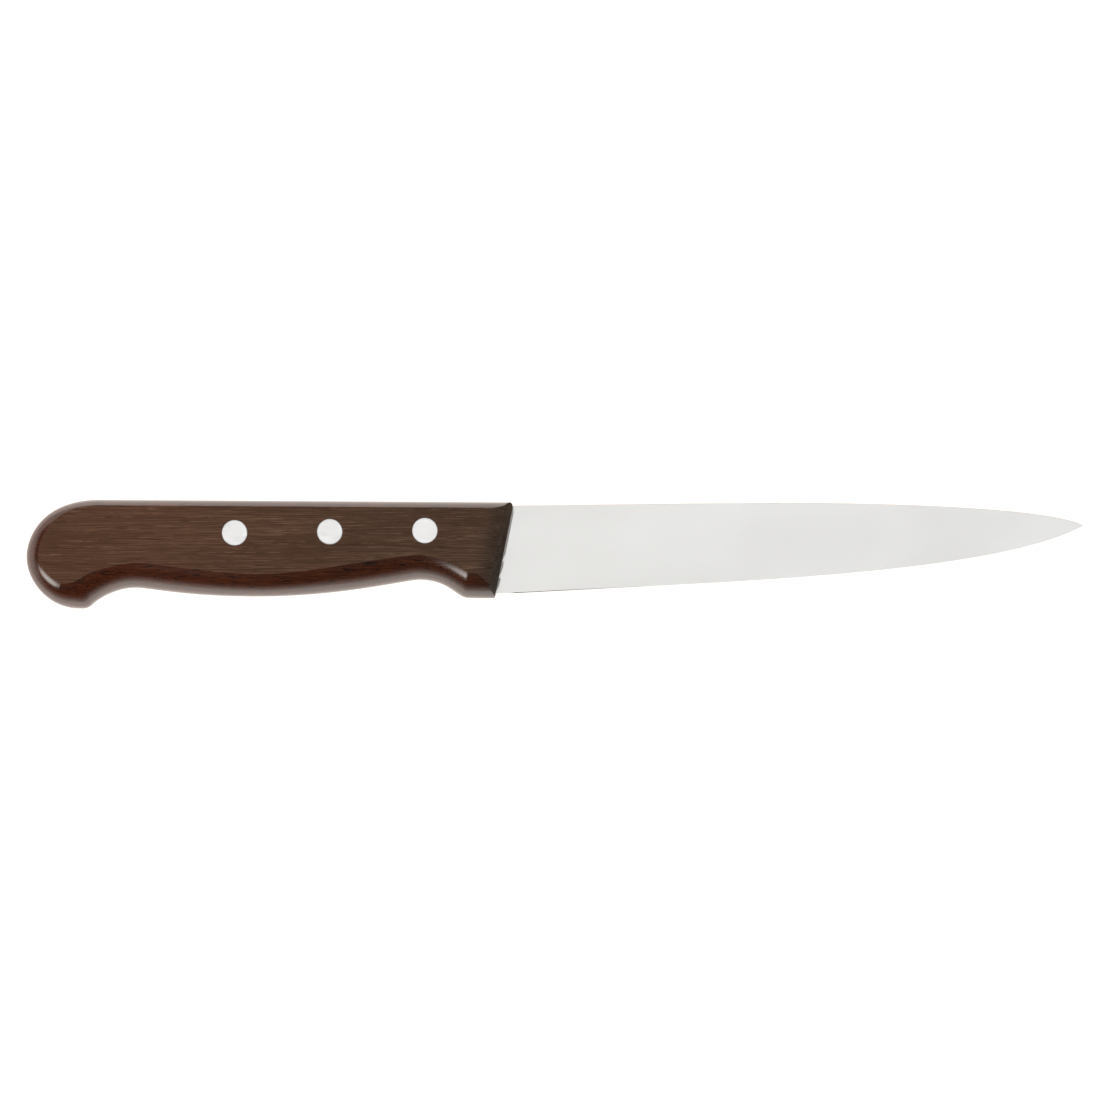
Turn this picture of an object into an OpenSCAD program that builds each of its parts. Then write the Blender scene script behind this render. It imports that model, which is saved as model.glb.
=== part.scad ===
// Boning knife lying on its left side: a steel blade whose flat tang reaches two
// thirds of the way into a wooden handle, two wooden scales and three two-piece
// rivets. Outlines are drawn with the spine on y = 0 and the front edge of the
// handle crossing x = 0 at mid height, then moved so that the origin is at the
// middle of the underside. +X points to the tip and +Y to the spine.

/* [Handle] */
// Length from the butt to the middle of the front edge
handle_length = 131.7; // [120:0.1:140]
// Thickness across both scales
handle_thickness = 17; // [15:0.5:20]
// Depth of the finger guard at the front
guard_depth = 26.5; // [26:0.1:28]
// Depth at the finger groove behind the guard
groove_depth = 21.4; // [20.5:0.1:22.5]
// Depth at the palm swell
palm_depth = 26; // [25:0.1:27.5]
// Depth at the waist in front of the heel
waist_depth = 23.6; // [22.5:0.1:24.5]
// Depth of the hooked heel below the butt
heel_depth = 29.3; // [28.5:0.1:31]
// Height that the spine gains towards the butt
spine_rise = 0.7; // [0:0.1:1.5]
// Lean of the front edge, in degrees
front_lean = 11.2; // [5:0.1:15]

/* [Edges of the scales] */
// Radius along the spine
spine_radius = 1.5; // [1:0.1:2.5]
// Height of the rounding along the spine over its width
spine_steepness = 2.6; // [1:0.1:4]
// Radius around the butt
butt_radius = 3.2; // [2.5:0.1:4]
// Radius along the belly
belly_radius = 7; // [5.5:0.1:7]
// Radius of the top corner at the front
corner_radius = 1.3; // [0.8:0.1:2]
// Length of the soft easing down to the front
easing_length = 7; // [5:0.1:9]
// Length of the bevel at the very front
bevel_length = 2.3; // [1.5:0.1:3]
// Height from the middle plane to the top of the front bevel
bevel_top = 7.5; // [6.5:0.1:8]
// Height from the middle plane to the foot of the front bevel
bevel_foot = 4.5; // [3:0.1:6]
// Rounding of the foot of the front bevel
foot_radius = 0.9; // [0.4:0.1:1.4]

/* [Rivets] */
// Diameter of the flush heads
head_d = 7; // [6:0.1:8]
// Thickness of the heads
head_h = 2.6; // [2:0.1:3]
// Outer diameter of the sleeve
sleeve_d = 4.9; // [4.5:0.1:5.2]
// Diameter of the post inside the sleeve
post_d = 3.2; // [2.5:0.1:3.4]
// Distance from the front edge to the first rivet
first_rivet = 21.9; // [18:0.1:26]
// Distance between rivets
rivet_pitch = 26.2; // [20:0.1:28]
// Depth of the first rivet below the spine
rivet_depth = 7.8; // [7:0.1:9]

/* [Blade] */
// Length from the middle of the handle's front edge to the tip
blade_length = 159.9; // [120:0.1:180]
// Depth of the blade at the handle
blade_depth = 25.1; // [22:0.1:25.5]
// Depth of the tip below the spine line
tip_drop = 6.4; // [4:0.1:9]
// Thickness of the steel at the tang
stock = 2; // [1.6:0.1:2.5]
// Length of the tang behind the front edge
tang_length = 88; // [84:0.5:100]

/* [Hidden] */
$fn = 64;

lean = tan(front_lean);
half_handle = handle_thickness / 2;
half_stock = stock / 2;
mid_depth = 13.2;          // the front edge crosses x = 0 at this depth
butt_depth = 15;           // depth of the rearmost point of the butt
rivet_slope = 0.0115;      // each rivet sits this much deeper per mm towards the butt
centre_x = (blade_length - handle_length) / 2;
centre_y = (spine_rise - heel_depth) / 2;

// Point at height y, ahead of the slanted front edge by a distance along x.
function ahead(distance, y) = [distance + (y + mid_depth) * lean, y];
function on_front(y) = ahead(0, y);
// Vector of a length at an angle.
function heading(length, angle) = length * [cos(angle), sin(angle)];
// Point at t on the cubic curve with corners a and d and handles b and c.
function cubic(a, b, c, d, t) =
    pow(1 - t, 3) * a + 3 * pow(1 - t, 2) * t * b + 3 * (1 - t) * t * t * c + t * t * t * d;
// A knot is [point, arriving handle, leaving handle], both handles pointing onwards.
function on_span(from, to, t) = cubic(from[0], from[0] + from[2], to[0] - to[1], to[0], t);
// Points along a chain of knots, with steps[k] points on span k and the last knot.
function chain(knots, steps) = [
    for (k = [0:len(steps) - 1], i = [0:steps[k] - 1]) on_span(knots[k], knots[k + 1], i / steps[k]),
    knots[len(knots) - 1][0]
];
// Height at x of a chain that runs in +x: find its span, then halve the interval.
function height_at(knots, x, k = 0) =
    k < len(knots) - 2 && x > knots[k + 1][0][0]
        ? height_at(knots, x, k + 1)
        : halve(knots[k], knots[k + 1], x, 0, 1, 26);
function halve(from, to, x, low, high, rounds) =
    let (mid = (low + high) / 2, p = on_span(from, to, mid))
    rounds == 0 ? p[1] : p[0] < x
        ? halve(from, to, x, mid, high, rounds - 1)
        : halve(from, to, x, low, mid, rounds - 1);
// Smooth step from 0 at x = 0 to 1 at x = 1.
function ease(x) = let (t = min(1, max(0, x))) t * t * (3 - 2 * t);

// ---- Outline of the handle, from the butt to the front ----

butt_x = -handle_length;
heel_x = butt_x + 14.4;
waist_x = butt_x + 29.9;
palm_x = butt_x + 63.7;
groove_x = -23.5;
guard = -7.6;                // the guard starts here, measured from the front edge
shoulder_x = butt_x + 20.1;  // where the curve of the butt meets the straight spine
hook_angle = 47.6;           // slope of the step from the heel up to the waist

function spine_y(x) = spine_rise * (on_front(0)[0] - x) / (on_front(0)[0] - shoulder_x);

// Steps along the belly: butt, heel corner, heel, hook, waist, palm, groove, guard and corner.
belly_steps = [8, 3, 4, 6, 8, 7, 9, 5, 4];
spine_steps = [15, 6, 8, 7, 9, 5, 4];
belly_knots = [
    [[butt_x, -butt_depth], [0, 0], [0, -5]],
    [[butt_x + 7.7, 1.75 - heel_depth], [4.6, -2.55], [2, -1.1]],
    [[heel_x, -heel_depth], [2.4, 0], [0.7, 0]],
    [[heel_x + 4, 1.4 - heel_depth], heading(2.4, hook_angle), heading(0.65, hook_angle)],
    [[waist_x, -waist_depth], [6, 0], [4.5, 0]],
    [[palm_x, -palm_depth], [20.8, 0], [23.3, 0]],
    [[groove_x, -groove_depth], [3.6, 0], [8.1, 0]],
    [ahead(guard, 0.1 - guard_depth), heading(3.1, -4.5), heading(2, -3)],
    [ahead(-0.5, -guard_depth), [1.5, 0], [0.3, 0]],
    [on_front(0.4 - guard_depth), [0, 0.2], [0, 0]]
];
spine_knots = [
    [[butt_x, -butt_depth], [0, 0], [0, 5]],
    [[shoulder_x, spine_rise], [16.2, 0], [3, 0]],
    for (x = [waist_x, palm_x, groove_x, guard - 2]) [[x, spine_y(x)], [3, 0], [3, 0]],
    [ahead(-corner_radius, 0), [3, 0], [0.6 * corner_radius, 0]],
    [on_front(-corner_radius), [0.1, -0.5] * corner_radius, [0, 0]]
];

// ---- Edge of the flat side faces, paired with the outline knot by knot ----

face_belly_knots = [
    [[butt_x + butt_radius, -butt_depth], [0, 0], [0.2, -2.8]],
    [[butt_x + 9.6, 6.9 - heel_depth], heading(3.2, -20), heading(1, -1)],
    [[butt_x + 12.5, 7.2 - heel_depth], [1, 0.3], [0.8, 0.3]],
    [[butt_x + 15.4, 8.6 - heel_depth], [0.7, 0.6], [2, 1.7]],
    [[waist_x, belly_radius - 0.1 - waist_depth], [4, 0], [5, 0]],
    [[palm_x + 1.5, belly_radius - 0.8 - palm_depth], [14, 0], [12, 0]],
    [[groove_x, belly_radius - 0.2 - groove_depth], [8, 0], [5.5, 0]],
    [ahead(guard - 1.2, belly_radius - guard_depth), heading(3, -36), heading(2, -4)],
    [ahead(-0.5, belly_radius - 0.3 - guard_depth), heading(2, -2), heading(0.2, -2)],
    [on_front(belly_radius - 0.3 - guard_depth), heading(0.2, -2), [0, 0]]
];
face_spine_knots = [
    [[butt_x + butt_radius, -butt_depth], [0, 0], [0, 4]],
    [[shoulder_x, spine_rise - spine_radius], [14, 0], [3, 0]],
    for (x = [waist_x, palm_x, groove_x, guard - 2])
        [[x, spine_y(x) - spine_radius], [3, 0], [3, 0]],
    [ahead(-corner_radius, -spine_radius - 0.2), [3, -0.1], [0.4, -0.1]],
    [on_front(-spine_radius - 0.6), [0.3, -0.1], [0, 0]]
];

belly = chain(belly_knots, belly_steps);
spine = chain(spine_knots, spine_steps);
// One loop from the front along the spine, around the butt and back along the belly.
last = len(belly) - 1;
function loop_of(upper, lower) = concat([for (i = [last:-1:0]) upper[i]], [for (i = [1:last]) lower[i]]);
outer_loop = loop_of(spine, belly);
face_loop = loop_of(chain(face_spine_knots, spine_steps), chain(face_belly_knots, belly_steps));

// ---- Scale: outer loop, wall, rounding and flat face ----

round_steps = 6;
wall_top = half_stock + 0.5;
// Ring j of the scale: 0 is the foot, 1 the top of the wall, the last one the flat face.
// Height of the rounding over its width: 1 along the belly, at the butt and at the front edge, and
// more along the spine.
function steepness(i) = i > last ? 1 :
    let (p = outer_loop[i])
    1 + (spine_steepness - 1) * ease((p[0] - butt_x) / (shoulder_x - butt_x))
        * ease((on_front(p[1])[0] - p[0]) / 4);
function rise(i) = min(half_handle - wall_top, steepness(i) * norm(outer_loop[i] - face_loop[i]));
function ring(j) = [
    for (i = [0:2 * last])
        let (
            a = 90 * (j - 1) / round_steps,
            p = face_loop[i] + (outer_loop[i] - face_loop[i]) * cos(a),
            z = half_handle - rise(i) + rise(i) * sin(a)
        )
        j == 0 ? [outer_loop[i][0], outer_loop[i][1], 0] : [p[0], p[1], z]
];
ring_size = 2 * last + 1;
ring_count = round_steps + 2;
function at(j, i) = j * ring_size + i;

scale_faces = concat(
    [for (j = [0:ring_count - 2], i = [0:2 * last - 1])
        each [[at(j, i), at(j + 1, i), at(j, i + 1)], [at(j, i + 1), at(j + 1, i), at(j + 1, i + 1)]]],
    // the flat side face and the inner face, as strips from spine to belly
    [for (k = [0:last - 1]) let (j = ring_count - 1)
        each [[at(j, last - k), at(j, last - k - 1), at(j, last + k + 1)],
              if (k > 0) [at(j, last - k), at(j, last + k + 1), at(j, last + k)]]],
    [for (k = [0:last - 1])
        each [[at(0, last - k), at(0, last + k + 1), at(0, last - k - 1)],
              if (k > 0) [at(0, last - k), at(0, last + k), at(0, last + k + 1)]]],
    // the front
    [concat([for (j = [0:ring_count - 1]) at(j, 0)],
            [for (j = [ring_count - 1:-1:0]) at(j, 2 * last)])]
);

module scale_blank() {
    polyhedron(points = [for (j = [0:ring_count - 1]) each ring(j)], faces = scale_faces);
}

// Everything above the front easing and bevel, as a bar across the handle. The foot of the bevel
// is rounded.
module front_relief() {
    easing_steps = 8;
    foot_steps = 3;
    run = easing_length - bevel_length;
    slope = (bevel_top - bevel_foot) / bevel_length;
    clear = 3;
    shear = [[1, lean, 0, mid_depth * lean], [0, 1, 0, 0], [0, 0, 1, 0]];
    profile = concat(
        [for (i = [0:easing_steps])
            [run * i / easing_steps - easing_length,
             half_handle - (half_handle - bevel_top) * pow(i / easing_steps, 2)]],
        [for (i = [0:foot_steps])
            let (a = 90 * i / foot_steps, x = foot_radius * (sin(a) - 1))
            [x, bevel_foot - slope * x - foot_radius * (1 - cos(a))]],
        [[clear, bevel_foot - foot_radius - clear], [clear, half_handle + clear],
         [-easing_length, half_handle + clear]]
    );
    length = heel_depth + 2 * clear;
    multmatrix(shear)
        translate([0, clear, 0])
            rotate([90, 0, 0])
                linear_extrude(length) polygon(profile);
}

module at_rivet(i) {
    deeper = i * rivet_pitch * rivet_slope;
    translate([-first_rivet - i * rivet_pitch, -rivet_depth - deeper, 0]) children();
}

module at_rivets() {
    for (i = [0:2]) at_rivet(i) children();
}

rivet_hole_d = sleeve_d + 0.1;
head_seat_d = head_d + 0.04;

module scale_half() {
    difference() {
        scale_blank();
        front_relief();
        // seat of the tang, open at the spine, the belly and the front
        translate([-tang_length, -1.5 * heel_depth, -half_stock])
            cube([2 * tang_length, 2 * heel_depth, stock]);
        at_rivets() cylinder(d = rivet_hole_d, h = handle_thickness);
        at_rivets() translate([0, 0, half_handle - head_h]) cylinder(d = head_seat_d, h = 2 * head_h);
    }
}

// ---- Rivets, drawn from the middle plane of the handle ----

post_clearance = 0.04;
post_tip = 4.5;        // the post ends this far short of the far face of the handle
sleeve_end = 4.4;      // the sleeve ends this far short of the near face
bore_floor = 3.5;      // the sleeve's bore starts this far from its head's face

module rivet_post(i) {
    color("#dcdad4") place() at_rivet(i) {
        translate([0, 0, half_handle - head_h]) cylinder(d = head_d, h = head_h);
        translate([0, 0, post_tip - half_handle])
            cylinder(d = post_d, h = handle_thickness - post_tip - head_h);
    }
}

module rivet_sleeve(i) {
    color("#cfccc5") place() at_rivet(i)
        translate([0, 0, -half_handle]) difference() {
            union() {
                cylinder(d = head_d, h = head_h);
                cylinder(d = sleeve_d, h = handle_thickness - sleeve_end);
            }
            translate([0, 0, bore_floor])
                cylinder(d = post_d + post_clearance, h = handle_thickness);
        }
}

// ---- Blade and tang ----

edge_half = 0.03;        // half thickness at the very edge
grind_half = 0.1;        // half thickness where the fine bevel of the edge starts
edge_bevel = 0.14;       // height of that bevel
blunt_length = 4.5;      // the edge in front of the handle is left blunt
distal = 0.35;           // share of the taper that the blade loses towards the tip
tip_height = 0.25;       // depth of the blade where its last section stands
root = 0.5;              // the blade starts this far inside the tang, a hair thinner
taper = (half_stock - 0.005 - grind_half) / (blade_depth - 0.85);

back_knots = [
    [[on_front(-0.8)[0] - 1, -0.85], [0, 0], [15.6, 0.1]],
    [[blade_length / 2, -0.1], [21.9, 0], [8.9, 0]],
    [[blade_length, -tip_drop], heading(11.6, -30.2), [0, 0]]
];
edge_knots = [
    [[on_front(-blade_depth)[0] - 1, -blade_depth - 0.1], [0, 0], [1, 0]],
    [[2.2, -blade_depth], [1, 0.02], heading(54.4, 3.2)],
    [[blade_length, -tip_drop], heading(28.6, 29), [0, 0]]
];

blade_stations = 60;
// Place along the blade: even at first, then closer and closer towards the tip.
function reach(i) =
    let (t = i / blade_stations) (blade_length + root) * (1 - pow(1 - t, 1.35)) - root - 0.12 * t;
function fade(x) = 1 - ease(x / 14);
// A section runs from the back to the edge and starts out parallel to the front edge.
function section(i) =
    let (
        u = reach(i),
        xb = u + on_front(-0.85)[0] * fade(u),
        xe = u + on_front(-blade_depth)[0] * fade(u),
        top = height_at(back_knots, xb),
        low = height_at(edge_knots, xe),
        back_half = grind_half + taper * (1 - distal * u / blade_length) * (top - low),
        low_half = grind_half + (edge_half - grind_half) * ease((u - blunt_length) / 2 + 0.5),
        lift = min(edge_bevel, (top - low) / 2)
    )
    [
        [xb, top, back_half], [xb, top, -back_half],
        [xe, low + lift, -grind_half], [xe, low, -low_half],
        [xe, low, low_half], [xe, low + lift, grind_half]
    ];
section_size = 6;

module blade_body() {
    function corner(i, c) = i * section_size + c % section_size;
    sides = [
        for (i = [0:blade_stations - 1], c = [0:section_size - 1])
            each [[corner(i, c), corner(i, c + 1), corner(i + 1, c)],
                  [corner(i, c + 1), corner(i + 1, c + 1), corner(i + 1, c)]]
    ];
    ends = [
        [for (c = [section_size - 1:-1:0]) corner(0, c)],
        [for (c = [0:section_size - 1]) corner(blade_stations, c)]
    ];
    polyhedron(
        points = [for (i = [0:blade_stations]) each section(i)],
        faces = concat(sides, ends)
    );
}

module tang() {
    translate([0, 0, -half_stock]) linear_extrude(stock) intersection() {
        polygon(outer_loop);
        translate([-tang_length, -1.5 * heel_depth]) square([2 * tang_length, 2 * heel_depth]);
    }
}

// ---- The pieces ----

// From the drawing's frame to the part's own frame.
module place() {
    translate([-centre_x, -centre_y, half_handle]) children();
}

module blade() {
    color("#dfe0dc") place() difference() {
        union() {
            blade_body();
            tang();
        }
        at_rivets() translate([0, 0, -half_handle]) cylinder(d = rivet_hole_d, h = handle_thickness);
    }
}

module right_scale() {
    color("#5a4233") place() scale_half();
}

module left_scale() {
    color("#523b2e") place() mirror([0, 0, 1]) scale_half();
}

blade();
right_scale();
left_scale();
rivet_post(0);  // front_rivet_post
rivet_sleeve(0);  // front_rivet_sleeve
rivet_post(1);  // middle_rivet_post
rivet_sleeve(1);  // middle_rivet_sleeve
rivet_post(2);  // rear_rivet_post
rivet_sleeve(2);  // rear_rivet_sleeve
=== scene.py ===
"""Looks of a boning knife, built around its packed frame.

The knife lies on its left side: +X points to the tip, +Y to the spine and +Z out of the right side
of the handle. Outlines are drawn in millimetres with the spine on y = 0 and the leaning front edge
of the handle crossing x = 0 at mid depth, and are then moved into the frame.
"""

import math
from collections import namedtuple

import bmesh
import bpy
import numpy as np
from bpy.props import FloatProperty, FloatVectorProperty, IntProperty, PointerProperty
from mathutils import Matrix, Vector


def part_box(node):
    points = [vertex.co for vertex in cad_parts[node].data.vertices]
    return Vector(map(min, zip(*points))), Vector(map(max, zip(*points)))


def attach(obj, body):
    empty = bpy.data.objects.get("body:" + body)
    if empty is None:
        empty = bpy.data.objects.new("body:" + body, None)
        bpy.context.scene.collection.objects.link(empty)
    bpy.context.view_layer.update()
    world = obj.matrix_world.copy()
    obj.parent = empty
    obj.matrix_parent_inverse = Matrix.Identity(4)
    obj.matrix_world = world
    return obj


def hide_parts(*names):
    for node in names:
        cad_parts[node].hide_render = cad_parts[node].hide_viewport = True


bl_info = {
    "name": "Boning Knife",
    "version": (1, 0, 0),
    "blender": (4, 5, 0),
    "location": "View3D > Sidebar > Knife",
    "description": "Builds a boning knife with a wooden handle around its packed frame",
    "category": "Add Mesh",
}

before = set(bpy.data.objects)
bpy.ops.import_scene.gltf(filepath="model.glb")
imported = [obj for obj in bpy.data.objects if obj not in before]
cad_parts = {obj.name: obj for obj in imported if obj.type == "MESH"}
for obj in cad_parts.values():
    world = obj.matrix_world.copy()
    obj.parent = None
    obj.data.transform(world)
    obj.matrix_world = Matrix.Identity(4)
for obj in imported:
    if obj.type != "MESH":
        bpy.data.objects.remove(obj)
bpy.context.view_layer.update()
MM = 0.001
BODY = "root"

RIGHT_LOW, RIGHT_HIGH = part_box("right_scale")
BLADE_LOW, BLADE_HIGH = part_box("blade")
POST_LOW, POST_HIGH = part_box("front_rivet_post")
RIVET_PLACES = ("front", "middle", "rear")


# ---------------------------------------------------------------------------------------------
# Settings
# ---------------------------------------------------------------------------------------------


def length(label, text, value):
    """A length in millimetres, kept in metres."""
    return FloatProperty(name=label, description=text, default=value * MM, unit="LENGTH")


def share(label, text, value):
    """A number from 0 to 1."""
    return FloatProperty(
        name=label, description=text, default=value, min=0, max=1, subtype="FACTOR"
    )


def colour(label, text, *value):
    """A linear colour."""
    return FloatVectorProperty(
        name=label, description=text, default=value, min=0, max=1, size=3, subtype="COLOR"
    )


class HandleSettings(bpy.types.PropertyGroup):
    """Sizes of the wooden handle."""

    length: length("Length", "From the butt to the middle of the front edge", 131.7)
    thickness: FloatProperty(
        name="Thickness",
        description="Across both scales",
        default=2 * (RIGHT_HIGH.z - RIGHT_LOW.z),
        unit="LENGTH",
    )
    guard_depth: length("Guard depth", "Depth at the finger guard", 26.5)
    groove_depth: length("Groove depth", "Depth at the finger groove", 21.4)
    palm_depth: length("Palm depth", "Depth at the palm swell", 26.0)
    waist_depth: length("Waist depth", "Depth in front of the heel", 23.6)
    heel_depth: length("Heel depth", "Depth of the hooked heel", 29.3)
    spine_rise: length("Spine rise", "Height gained towards the butt", 0.7)
    front_lean: FloatProperty(
        name="Front lean",
        description="Lean of the front edge",
        default=math.radians(11.2),
        subtype="ANGLE",
    )
    spine_radius: length("Spine radius", "Rounding along the spine", 1.5)
    spine_steepness: FloatProperty(
        name="Spine steepness",
        description="Height of the spine's rounding over its width",
        default=2.6,
    )
    butt_radius: length("Butt radius", "Rounding around the butt", 3.2)
    belly_radius: length("Belly radius", "Rounding along the belly", 7.0)
    corner_radius: length("Corner radius", "Rounding of the front top corner", 1.3)
    flat_tilt: FloatProperty(
        name="Flat tilt",
        description="Angle at which the rounding meets the sanded flat",
        default=math.radians(12),
        subtype="ANGLE",
    )
    easing_length: length("Easing length", "Soft fall towards the front", 7.0)
    bevel_length: length("Bevel length", "Bevel at the very front", 2.3)
    bevel_top: length("Bevel top", "Height of the bevel's top above the middle plane", 7.5)
    bevel_foot: length("Bevel foot", "Height of the bevel's foot above the middle plane", 4.5)
    foot_radius: length("Foot radius", "Rounding of the bevel's foot", 0.9)
    seam: length("Seam", "Hairline between wood and steel", 0.03)


class BladeSettings(bpy.types.PropertyGroup):
    """Sizes of the blade and its tang."""

    depth: length("Depth", "Depth at the handle", 25.1)
    tip_drop: length("Tip drop", "Depth of the tip below the spine", 6.4)
    stock: FloatProperty(
        name="Stock",
        description="Thickness of the steel at the tang",
        default=BLADE_HIGH.z - BLADE_LOW.z,
        unit="LENGTH",
    )
    tang_length: length("Tang length", "Tang behind the front edge", 88.0)
    blunt_length: length("Blunt length", "Unsharpened edge in front of the handle", 4.5)
    edge_bevel: length("Edge bevel", "Height of the fine bevel at its start", 0.18)
    corner: length("Corner", "Broken corners of the back", 0.18)


class RivetSettings(bpy.types.PropertyGroup):
    """Sizes of the two-piece rivets."""

    head_height: length("Head height", "Thickness of the heads", 2.6)
    sleeve_width: length("Sleeve width", "Outer diameter of the sleeves", 4.9)
    post_width: length("Post width", "Diameter of the posts", 3.2)
    edge_break: length("Edge break", "Broken edge around each head", 0.1)
    segments: IntProperty(name="Segments", description="Steps around", default=128, min=24)


class FinishSettings(bpy.types.PropertyGroup):
    """Colours and gloss."""

    wood_mid: colour("Wood", "Main colour of the wood", 0.265, 0.134, 0.079)
    wood_dark: colour("Dark grain", "Colour of the dark grain", 0.142, 0.064, 0.036)
    wood_light: colour("Light grain", "Colour of the light lines", 0.49, 0.27, 0.17)
    deepening: colour("Lacquer depth", "Share of colour left under the lacquer", 0.57, 0.25, 0.11)
    satin: share("Satin roughness", "Roughness of the sanded faces", 0.42)
    gloss: share("Lacquer roughness", "Roughness of the lacquered roundings", 0.18)
    steel: colour("Steel", "Colour of the blade", 0.83, 0.83, 0.815)
    steel_roughness: share("Steel roughness", "Roughness of the ground blade", 0.3)
    rivet: colour("Rivet metal", "Colour of the rivets", 0.86, 0.86, 0.855)
    rivet_roughness: share("Rivet roughness", "Roughness of the ground heads", 0.34)


class StageSettings(bpy.types.PropertyGroup):
    """Camera, floor and lights."""

    view_width: length("View width", "Width that the camera takes in", 303.5)
    view_x: length("View x", "Middle of the view along the knife", -1.55)
    view_y: length("View y", "Middle of the view across the knife", 1.15)
    distance: FloatProperty(
        name="Distance", description="Camera above the knife", default=4.0, unit="LENGTH"
    )
    floor_glow: FloatProperty(name="Floor glow", description="Brightness of the floor", default=1.2)
    low_light: FloatProperty(name="Low light", description="Glow just above the floor", default=1.1)
    far_light: FloatProperty(name="Far wall", description="Wall beyond the spine", default=0.7)
    top_light: FloatProperty(name="Top light", description="Soft box overhead", default=1.6)
    dark_ceiling: FloatProperty(name="Dark ceiling", description="Light elsewhere", default=0.02)
    behind_light: FloatProperty(name="Rear wall", description="Wall behind the butt", default=0.95)
    window_light: FloatProperty(name="Window", description="Window at the heel", default=4.2)


SETTINGS = {
    "knife_handle": HandleSettings,
    "knife_blade": BladeSettings,
    "knife_rivets": RivetSettings,
    "knife_finish": FinishSettings,
    "knife_stage": StageSettings,
}


# ---------------------------------------------------------------------------------------------
# Curves
# ---------------------------------------------------------------------------------------------

Knot = namedtuple("Knot", "point arrive leave")
MID_DEPTH = 13.2 * MM  # the front edge crosses x = 0 at this depth
DENSE_STEPS = 600  # points on each span of a curve that is read as a function
MEET_ROUNDS = 16  # rounds after which a leaning line's meeting point has settled


def knot(x, y, arrive=(0, 0), leave=(0, 0)):
    """A knot of a curve in millimetres, with its two handles, both pointing onwards."""
    return Knot(*(np.array(v, float) * MM for v in ((x, y), arrive, leave)))


def heading(size, degrees):
    """The vector of a length at an angle."""
    return size * math.cos(math.radians(degrees)), size * math.sin(math.radians(degrees))


def span(start, end, t):
    """Points on the cubic Bezier curve from one knot to the next at the parameters t: the cubic
    blend of the first point, its leaving handle's end, the last point's arriving handle's end and
    the last point."""
    t = t[:, None]
    a, d = start.point, end.point
    b, c = a + start.leave, d - end.arrive
    return (1 - t) ** 3 * a + 3 * (1 - t) ** 2 * t * b + 3 * (1 - t) * t**2 * c + t**3 * d


def chain(knots, counts):
    """Points along a chain of knots, with counts[k] even parameters on span k and the last knot."""
    parts = [span(knots[k], knots[k + 1], np.arange(n) / n) for k, n in enumerate(counts)]
    return np.vstack([*parts, knots[-1].point[None]])


def dense(knots):
    """A chain drawn finely enough to be read as a function of x."""
    return chain(knots, [DENSE_STEPS] * (len(knots) - 1))


def meet(curve, base, tilt):
    """Where lines that lean by tilt and pass mid depth at x = base meet a curve: the height y is
    repeated as curve(base + tilt * (y + mid depth)) until it settles."""
    y = np.full_like(base, curve[:, 1].mean())
    for _ in range(MEET_ROUNDS):
        y = np.interp(base + tilt * (y + MID_DEPTH), curve[:, 0], curve[:, 1])
    return np.column_stack([base + tilt * (y + MID_DEPTH), y])


def ease(x):
    """Smooth step from 0 at x = 0 to 1 at x = 1, as 3x squared minus 2x cubed."""
    x = np.clip(x, 0, 1)
    return x * x * (3 - 2 * x)


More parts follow.
